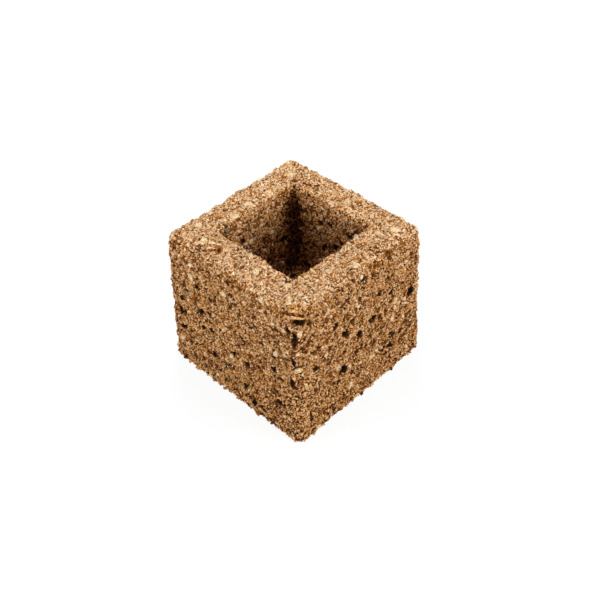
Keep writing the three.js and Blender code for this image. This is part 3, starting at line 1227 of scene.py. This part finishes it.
@dataclass(frozen=True)
class LaidStrip:
    """A strip that lies on the surface, from one point to another, in millimetres. Pale ones are
    husk, and dark ones are painted shade.
    """

    start: Point
    end: Point
    width: float
    thickness: float
    tone: float


@dataclass
class LaidStrips:
    """The strips of husk that the photograph shows one by one, and dark shreds of painted shade."""

    block: PressedBlock
    strips: tuple[LaidStrip, ...] = (
        # The ledges at the front corner.
        LaidStrip((30.3, -34.8, 70.2), (33.8, -32.4, 70.6), 1.7, 0.9, 0.46),
        LaidStrip((31.6, -35.9, 69.4), (35.0, -33.4, 69.7), 1.4, 1.0, 0.62),
        LaidStrip((30.6, -37.2, 67.2), (34.3, -36.7, 68.3), 1.8, 1.0, 0.56),
        LaidStrip((33.6, -36.9, 68.2), (36.6, -34.6, 68.0), 1.7, 1.0, 0.62),
        LaidStrip((35.8, -35.4, 68.2), (37.7, -32.9, 67.2), 1.3, 0.9, 0.58),
        # On the left mark.
        LaidStrip((-22.1, -33.2, 70.5), (-18.7, -31.9, 70.9), 1.7, 0.9, 0.8),
        LaidStrip((-18.3, -30.4, 70.9), (-15.6, -28.3, 70.8), 1.2, 0.7, 0.86),
        LaidStrip((-16.3, -33.1, 70.9), (-14.4, -31.2, 70.9), 0.9, 0.6, 0.78),
        # Dark shreds of painted shade under the upper ledge, in the creases beside the marks and on
        # the right rim.
        LaidStrip((31.5, -37.0, 68.7), (34.9, -35.3, 69.1), 0.9, 0.6, 0.0),
        LaidStrip((-20.8, -35.5, 69.8), (-17.6, -35.1, 69.9), 0.8, 0.5, 0.0),
        LaidStrip((-17.2, -34.8, 70.1), (-14.9, -33.5, 70.3), 0.8, 0.5, 0.0),
        LaidStrip((-14.3, -32.6, 70.3), (-13.3, -30.4, 70.3), 0.7, 0.5, 0.0),
        LaidStrip((-20.3, -34.1, 70.9), (-17.9, -33.7, 71.0), 0.7, 0.4, 0.0),
        LaidStrip((31.0, 10.2, 70.4), (33.8, 11.0, 70.3), 0.8, 0.5, 0.0),
        LaidStrip((34.2, 11.4, 70.1), (35.9, 13.2, 69.5), 0.8, 0.5, 0.0),
        LaidStrip((-16.6, 24.3, 70.8), (-13.6, 25.7, 70.8), 0.8, 0.5, 0.0),
        LaidStrip((-13.3, 26.0, 70.7), (-11.7, 28.5, 70.5), 0.7, 0.5, 0.0),
        LaidStrip((33.8, -4.0, 70.3), (35.2, -1.5, 70.2), 0.8, 0.5, 0.0),
    )
    clear: float = 0.4  # how wide a strip is kept clear of crumbs, as a share of its width

    def build(self, shape: CrumbShape, packing: Packing) -> Piece:
        """Lays the strips.

        Args:
            shape: A modelled shard, which each strip is drawn out of.
            packing: What lies where, which the strips are added to.

        Returns:
            All of them as one piece.
        """
        copies = []
        for strip in self.strips:
            start, end = Vector(strip.start), Vector(strip.end)
            middle, along = (start + end) / 2, (end - start).normalized()
            out = outwards_at(self.block, middle)
            out = (out - out.dot(along) * along).normalized()
            turn = np.array([along, out.cross(along), out]).T
            size = np.array([(end - start).length, 1.3 * strip.width, 2 * strip.thickness])
            copies.append((shape.places * size) @ turn.T + np.array(middle))
            places = np.array([start.lerp(end, share) for share in (0, 0.25, 0.5, 0.75, 1)])
            packing.hold(places, np.full(len(places), self.clear * strip.width))
        tones = np.array([strip.tone for strip in self.strips])
        return crumb_piece("husk_strips", [(shape, np.array(copies), tones)])


# ---------------------------------------------------------------- pores and clefts


@dataclass(frozen=True)
class Cleft:
    """A crack, or the slot under a ledge, along points of the surface, in millimetres."""

    points: tuple[Point, ...]
    width: float
    depth: float

    def stretches(self) -> Iterator[tuple[Vector, Vector]]:
        """Gives the two ends of each straight stretch."""
        for start, end in zip(self.points, self.points[1:]):
            yield Vector(start), Vector(end)


@dataclass
class Openings:
    """The pores where the mix didn't close and the clefts where it broke from its mould."""

    block: PressedBlock
    breadth: float = 0.85  # a pore's breadth, as a share of its length
    depth: float = 0.85  # the same for its depth
    clear: float = 1.2  # how wide an opening stays between the crumbs, as a share of its breadth
    seed: int = 7
    hidden: int = 24  # pores on each wall that the photograph doesn't show
    # The pores that show in the photograph: the two shares of their wall, and their length in mm.
    front: tuple[Point, ...] = (
        (-0.79, 0.44, 3.6), (-0.69, 0.63, 2.4), (-0.79, 0.55, 2.0), (-0.49, 0.73, 2.9),
        (-0.31, 0.69, 2.0), (-0.46, 0.55, 2.9), (-0.33, 0.57, 2.5), (-0.79, 0.3, 2.5),
        (-0.3, 0.45, 2.5), (-0.45, 0.42, 2.0), (0.41, 0.73, 2.8), (0.63, 0.81, 2.4),
        (0.19, 0.55, 3.1), (0.03, 0.38, 2.8), (0.25, 0.38, 2.6), (0.67, 0.6, 2.6),
        (0.66, 0.5, 2.6), (0.75, 0.46, 2.2), (0.21, 0.18, 2.6), (-0.28, 0.25, 2.5),
        (0.72, 0.25, 2.6), (0.85, 0.21, 2.0), (-0.27, 0.91, 2.0), (0.01, 0.93, 2.0),
        (0.88, 0.88, 2.6), (0.32, 0.07, 2.8), (0.44, 0.08, 2.4),
    )
    right: tuple[Point, ...] = (
        (-0.79, 0.89, 2.2), (-0.41, 0.73, 2.9), (-0.27, 0.62, 3.1), (-0.15, 0.67, 2.2),
        (-0.05, 0.52, 2.7), (-0.54, 0.6, 2.0), (-0.3, 0.34, 3.6), (0.17, 0.56, 2.9),
        (0.28, 0.53, 2.5), (0.21, 0.63, 2.0), (0.8, 0.54, 3.6), (0.48, 0.66, 2.7),
        (0.27, 0.72, 2.5), (0.58, 0.7, 2.3), (0.44, 0.23, 2.7), (0.62, 0.28, 2.3),
        (0.46, 0.32, 2.4), (-0.72, 0.52, 2.4), (-0.38, 0.26, 2.5), (-0.69, 0.17, 2.2),
        (-0.8, 0.13, 2.0), (0.01, 0.92, 2.4), (-0.14, 0.97, 2.0), (0.2, 0.95, 2.0),
        (-0.55, 0.83, 1.9), (0.9, 0.3, 2.2),
    )
    pocket: dict[Side, tuple[Point, ...]] = field(
        default_factory=lambda: {
            Side.BACK: (
                (-0.04, 0.75, 2.6), (-0.58, 0.75, 2.6), (0.06, 0.42, 2.8), (-0.24, 0.5, 2.4),
                (0.22, 0.71, 2.2), (-0.75, 0.45, 2.2), (-0.4, 0.6, 2.0),
            ),
            Side.LEFT: ((-0.6, 0.4, 2.6), (0.2, 0.35, 2.6), (-0.1, 0.55, 2.2), (0.5, 0.7, 2.2)),
            Side.FRONT: ((0.3, 0.5, 2.6), (-0.5, 0.7, 2.4), (-0.2, 0.25, 2.4)),
            Side.RIGHT: ((-0.3, 0.4, 2.6), (0.5, 0.6, 2.4), (0.1, 0.75, 2.2)),
        }
    )
    clefts: tuple[Cleft, ...] = (
        # The slots under the ledges at the front corner, and the cracks below them.
        Cleft(((29.8, -36.9, 68.1), (33.7, -35.9, 68.9), (35.2, -33.9, 69.0)), 1.2, 1.9),
        Cleft(((35.3, -36.8, 66.5), (37.3, -34.2, 66.0), (37.8, -31.8, 64.8)), 1.7, 2.4),
        Cleft(((36.2, -37.0, 60.6), (36.3, -37.3, 57.0), (36.2, -37.5, 53.1)), 1.7, 2.7),
        Cleft(((35.2, -38.2, 47.2), (35.7, -38.1, 44.5)), 2.0, 2.6),
        Cleft(((35.0, -38.6, 35.6), (35.8, -38.6, 32.4)), 1.5, 1.8),
        # The slits on the rim, beside the marks.
        Cleft(((-12.9, -28.7, 70.2), (-11.9, -30.9, 70.1)), 1.6, 1.8),
        Cleft(((36.6, 14.7, 68.6), (37.1, 17.3, 67.8)), 1.2, 1.6),
        Cleft(((-24.0, 24.0, 70.0), (-22.4, 24.6, 70.0)), 1.5, 1.8),
        Cleft(((7.0, 30.9, 69.9), (8.3, 31.4, 69.9)), 1.3, 1.6),
    )

    def spread(self, first: int) -> list[Point]:
        """Evenly spread pores for a wall that the photograph doesn't show.

        Args:
            first: The first pore's number in the sequence.

        Returns:
            The pores, as the photographed ones are listed.
        """
        numbers = range(first, first + self.hidden)
        return [
            (
                -0.9 + 1.8 * (0.7549 * number % 1),
                0.07 + 0.84 * (0.5698 * number % 1),
                2.0 + 1.5 * (0.618 * number % 1) ** 2,
            )
            for number in numbers
        ]

    def seats(self) -> list[tuple[Vector, Vector, float]]:
        """Returns each pore's place, the direction outwards and its length."""
        walls = {
            Side.FRONT: self.front,
            Side.RIGHT: self.right,
            Side.BACK: self.spread(12),
            Side.LEFT: self.spread(28),
        }
        found = [
            (*self.block.on_wall(side, (across, up)), length)
            for side, pores in walls.items()
            for across, up, length in pores
        ]
        return found + [
            (*self.block.in_pocket(side, (across, up)), length)
            for side, pores in self.pocket.items()
            for across, up, length in pores
        ]

    def lobes(self) -> list[tuple[Array, Array, float]]:
        """Returns the two hollows that each ragged pore is made of: place, turn and length."""
        rng = np.random.default_rng(self.seed)
        found = []
        for at, facing, length in self.seats():
            wide, narrow = turned_to(np.array([facing, facing]), 0.2, rng)
            for turn, share, step in ((wide, 0.9, -0.14), (narrow, 0.68, 0.36)):
                found.append((np.array(at) + step * length * wide[:, 0], turn, share * length))
        return found

    def keep_clear(self, packing: Packing) -> None:
        """Keeps the crumbs out of the openings."""
        places, _, lengths = zip(*self.lobes())
        packing.hold(np.array(places), self.clear * self.breadth * np.array(lengths))
        for cleft in self.clefts:
            for start, end in cleft.stretches():
                steps = 1 + int((end - start).length / cleft.width)
                places = np.array([start.lerp(end, step / steps) for step in range(steps + 1)])
                packing.hold(places, np.full(len(places), self.clear * cleft.width))

    def cutter(self, shape: CrumbShape) -> Piece:
        """Makes the shapes that are cut out of the block.

        Args:
            shape: A modelled grain, which each pore is the mould of.

        Returns:
            All of them as one object.
        """
        unit = shape.places / np.ptp(shape.places, axis=0)
        parts = []
        for at, turn, length in self.lobes():
            size = np.array([length, self.breadth * length, 2 * self.depth * length])
            parts.append((unit * size) @ turn.T + at)
        for cleft in self.clefts:
            for start, end in cleft.stretches():
                out = outwards_at(self.block, (start + end) / 2)
                along = (end - start).normalized()
                turn = np.array([along, out.cross(along), out]).T
                size = np.array([1.3 * (end - start).length, cleft.width, 2 * cleft.depth])
                parts.append((unit * size) @ turn.T + np.array((start + end) / 2))
        starts = len(unit) * np.arange(len(parts))
        faces = (shape.faces[None] + starts[:, None, None]).reshape(-1, 3)
        return new_piece("pores", mesh_from("pores", np.concatenate(parts) * MM, faces))


def outwards_at(block: PressedBlock, at: Vector) -> Vector:
    """The direction outwards at a place on the block's walls, shoulder or rim.

    Args:
        block: The block's sizes.
        at: The place in millimetres.

    Returns:
        A direction of length 1, level on a wall and upright on the rim.
    """
    inner = block.top_side / 2 - block.edge_radius
    crown = block.height - block.edge_radius
    core = Vector((max(-inner, min(inner, at.x)), max(-inner, min(inner, at.y)), min(crown, at.z)))
    return (at - core).normalized()


# ---------------------------------------------------------------- husk chips


@dataclass
class HuskChipPieces:
    """Turns each of the frame's coarse chips into a torn, fibrous one at the same place."""

    merge: float = 0.02  # mm
    tear: float = 0.7  # mm, the width of the torn edge's teeth
    tear_height: float = 0.4
    crease: float = 35  # degrees, the least angle that stays a sharp edge
    seed: int = 31

    def build(self, number: int, node: Piece) -> Piece:
        """Models one chip.

        Args:
            number: Its number among the chips.
            node: The frame's chip.

        Returns:
            The piece that replaces it.
        """
        name = node.name.replace("husk_chip", "torn_chip").replace("grey_chip", "torn_grey_chip")
        chip = new_piece(name, node.data.copy())
        chip.data.name = name
        with edit_mode(chip, whole=True):
            bpy.ops.mesh.remove_doubles(threshold=self.merge * MM)
            bpy.ops.mesh.subdivide(
                number_cuts=2, smoothness=0.25, fractal=0.35, seed=self.seed + number
            )
        displace(chip, "torn", "CLOUDS", self.tear, self.tear_height, mid_level=0.4)
        select_only(chip)
        bpy.ops.object.shade_smooth_by_angle(angle=math.radians(self.crease))
        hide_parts(node.name)
        return chip


# ---------------------------------------------------------------- the studio


@dataclass(frozen=True)
class Softbox:
    """A square lamp that looks at the block's middle."""

    name: str
    azimuth: float  # degrees from the front, to the right
    elevation: float
    distance: float  # mm from the block's middle
    side: float  # mm
    level: float  # what it gives a white surface that faces it, where 1 is white


@dataclass
class Studio:
    """A white table under soft light, with the camera where the photograph was taken from."""

    azimuth: float = 45.587
    elevation: float = 42.778
    roll: float = -2.033
    distance: float = 388.49  # mm from the block's middle
    aim_height: float = 35.0
    lens: float = 53.73
    shift: Place = (0.00714, -0.0143)
    sky: float = 0.05
    # Two for the rim, of which the upright one reaches the pocket's floor, one on either side and
    # a low one in front.
    lamps: tuple[Softbox, ...] = (
        Softbox("behind", 228.0, 52.0, 380.0, 190.0, 0.68),
        Softbox("above", 45.0, 86.0, 500.0, 200.0, 0.24),
        Softbox("right", 112.0, 20.0, 800.0, 360.0, 0.83),
        Softbox("left", -22.0, 17.0, 600.0, 270.0, 0.61),
        Softbox("front", 40.0, 8.0, 800.0, 360.0, 0.54),
    )
    table_side: float = 4000.0
    table_drop: float = 0.05  # mm below the block, so that the two don't fight
    # Far out, where the lamps' light fades, the table's white comes from its glow alone.
    glow_distances: Place = (0.12, 0.5)  # m
    glow: Place = (0.9, 1.0)

    def direction(self, azimuth: float, elevation: float) -> Vector:
        """The direction from the block's middle that two angles in degrees give."""
        around, above = math.radians(azimuth), math.radians(elevation)
        level = math.cos(above)
        return Vector((math.sin(around) * level, -math.cos(around) * level, math.sin(above)))

    def camera(self) -> None:
        """Places the camera."""
        around, roll = math.radians(self.azimuth), math.radians(self.roll)
        back = self.direction(self.azimuth, self.elevation)
        right = Vector((math.cos(around), math.sin(around), 0))
        up = back.cross(right)
        turned = Matrix((right, up, back)).transposed() @ Matrix.Rotation(roll, 3, "Z")
        data = bpy.data.cameras.new("camera")
        data.lens = self.lens
        data.shift_x, data.shift_y = self.shift
        data.clip_start, data.clip_end = 0.01, 20
        camera = bpy.data.objects.new("camera", data)
        bpy.context.scene.collection.objects.link(camera)
        place = (Vector((0, 0, self.aim_height)) + back * self.distance) * MM
        camera.matrix_world = Matrix.Translation(place) @ turned.to_4x4()
        bpy.context.scene.camera = camera

    def seen(self, tree: Tree) -> Socket:
        """Adds what is 1 for the rays that show the background, and returns its socket."""
        rays = add_node(tree, "LightPath").outputs
        first = maths(tree, "MAXIMUM", rays["Is Camera Ray"], rays["Is Glossy Ray"])
        return maths(tree, "MAXIMUM", first, rays["Is Transmission Ray"])

    def world(self) -> None:
        """Makes the even light from all round, with white behind the object."""
        world = bpy.data.worlds.new("studio")
        world.use_nodes = True
        tree = world.node_tree
        light = tree.nodes["Background"]
        light.inputs["Color"].default_value = linear("#ffffff")
        light.inputs["Strength"].default_value = self.sky
        white = add_node(tree, "Background", {"Color": linear("#ffffff"), "Strength": 1.0})
        mix = add_node(
            tree,
            "MixShader",
            links={0: self.seen(tree), 1: light.outputs[0], 2: white.outputs[0]},
        )
        tree.links.new(mix.outputs[0], tree.nodes["World Output"].inputs["Surface"])
        bpy.context.scene.world = world

    def softbox(self, box: Softbox) -> None:
        """Hangs a lamp."""
        data = bpy.data.lights.new(box.name, "AREA")
        data.shape, data.size = "SQUARE", box.side * MM
        data.energy = box.level * (math.pi * box.distance * MM) ** 2
        lamp = bpy.data.objects.new(box.name, data)
        bpy.context.scene.collection.objects.link(lamp)
        away = self.direction(box.azimuth, box.elevation)
        lamp.location = (Vector((0, 0, self.aim_height)) + away * box.distance) * MM
        lamp.rotation_euler = away.to_track_quat("Z", "Y").to_euler()
        lamp.visible_camera = False

    def table(self) -> None:
        """Lays the white table, which keeps the block's soft shadow."""
        deselect_all()
        low = (0, 0, -self.table_drop * MM)
        bpy.ops.mesh.primitive_plane_add(size=self.table_side * MM, location=low)
        settle()
        table = bpy.context.object
        table.name = "table"
        material = bpy.data.materials.new("white_table")
        material.use_nodes = True
        tree = material.node_tree
        tree.nodes.remove(tree.nodes["Principled BSDF"])
        dim = add_node(tree, "BsdfDiffuse", {"Color": linear("#8c8884")})
        bright = add_node(tree, "BsdfDiffuse", {"Color": linear("#606060")})
        place = add_node(tree, "TexCoord").outputs["Object"]
        away = add_node(tree, "VectorMath", {"operation": "LENGTH"}, {0: place}).outputs["Value"]
        level = ranged(tree, away, self.glow_distances, self.glow)
        glow = add_node(tree, "Emission", {"Color": linear("#ffffff")}, {"Strength": level})
        lit = add_node(tree, "AddShader", links={0: bright.outputs[0], 1: glow.outputs[0]})
        mix = add_node(
            tree, "MixShader", links={0: self.seen(tree), 1: dim.outputs[0], 2: lit.outputs[0]}
        )
        tree.links.new(mix.outputs[0], tree.nodes["Material Output"].inputs["Surface"])
        table.data.materials.append(material)

    def build(self) -> None:
        """Sets up the whole studio."""
        bpy.context.scene.view_settings.view_transform = "Standard"
        self.camera()
        self.world()
        for box in self.lamps:
            self.softbox(box)
        self.table()


def crumbs_of(region: Region, seed: int) -> CrumbLayer:
    """The crumbs of a region.

    Args:
        region: Where they lie.
        seed: The seed of their random numbers.

    Returns:
        The layer, still to be built.
    """
    layer = CrumbLayer(f"crumbs_{region.value}", (region,), seed)
    if region is Region.RIM:
        # The rim's pith and husk are painted paler, as painted light on the top, and the press
        # closed its gaps.
        painted_rim_lightening = (
            (0.5, 0.76, 0.05),
            (0.22, 0.69, 0.05),
            (0.06, 0.38, 0.06),
            (0.07, 0.12, 0.05),
            (0.12, 0.84, 0.05),
            (0.02, 0.95, 0.04),
        )
        return replace(layer, stuffs=painted_rim_lightening, gaps=0.01, proud=0.05, tilt=0.25)
    if region is Region.FOOT:
        # Clumps stick out there, and the shreds have rubbed off.
        kinds = {**layer.kinds, CrumbKind.SLIVER: 0.03}
        widths = (2.9, 2.4, 1.9, 1.5, 1.15, 0.9)
        return replace(layer, kinds=kinds, widths=widths, proud=0.34)
    if region in (Region.POCKET, Region.BASE):
        return replace(layer, widths=(2.0, 1.6, 1.3, 1.1, 0.95, 0.85))
    return layer


def main() -> None:
    """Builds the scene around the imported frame."""
    logging.basicConfig(level=logging.INFO, format="%(message)s")
    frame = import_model()
    Studio().build()
    shapes = CrumbModels().all()
    block = PressedBlock()
    openings, packing = Openings(block), Packing()
    surface = block.build(openings.cutter(shapes[CrumbKind.GRAIN]))
    openings.keep_clear(packing)
    pale, grey = PALE_HUSK.material(), GREY_HUSK.material()
    chips = sorted(name for name in frame["nodes"] if "chip" in name)
    for number, name in enumerate(chips):
        chip = HuskChipPieces().build(number, frame["nodes"][name])
        is_grey = name.startswith("grey")
        finish_piece(chip, grey if is_grey else pale)
        low, high = (np.array(corner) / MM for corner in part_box(name))
        packing.take(((low + high) / 2)[None], np.array([0.5 * (high - low).max()]))
    mix = CrumbMix().material()
    strips = LaidStrips(block).build(shapes[CrumbKind.SHARD], packing)
    finish_piece(strips, mix)
    everywhere = tuple(region for region in Region if region is not Region.BASE)
    flakes = CrumbLayer(
        "husk_flakes",
        everywhere,
        seed=101,
        widths=(2.6, 2.0, 1.6),
        per_square=(0.0015, 0.004, 0.008),
        gaps=0,
        tilt=0.25,
        proud=0.1,
        kinds={CrumbKind.FLAKE: 0.8, CrumbKind.SHARD: 0.2},
        stuffs=((0.75, 0.8, 0.05), (0.25, 0.95, 0.04)),
    ).build(surface, shapes, packing)
    finish_piece(flakes, mix)
    for number, region in enumerate(Region):
        crumbs = crumbs_of(region, seed=11 + number)
        finish_piece(crumbs.build(surface, shapes, packing), mix)


if __name__ == "__main__":
    main()
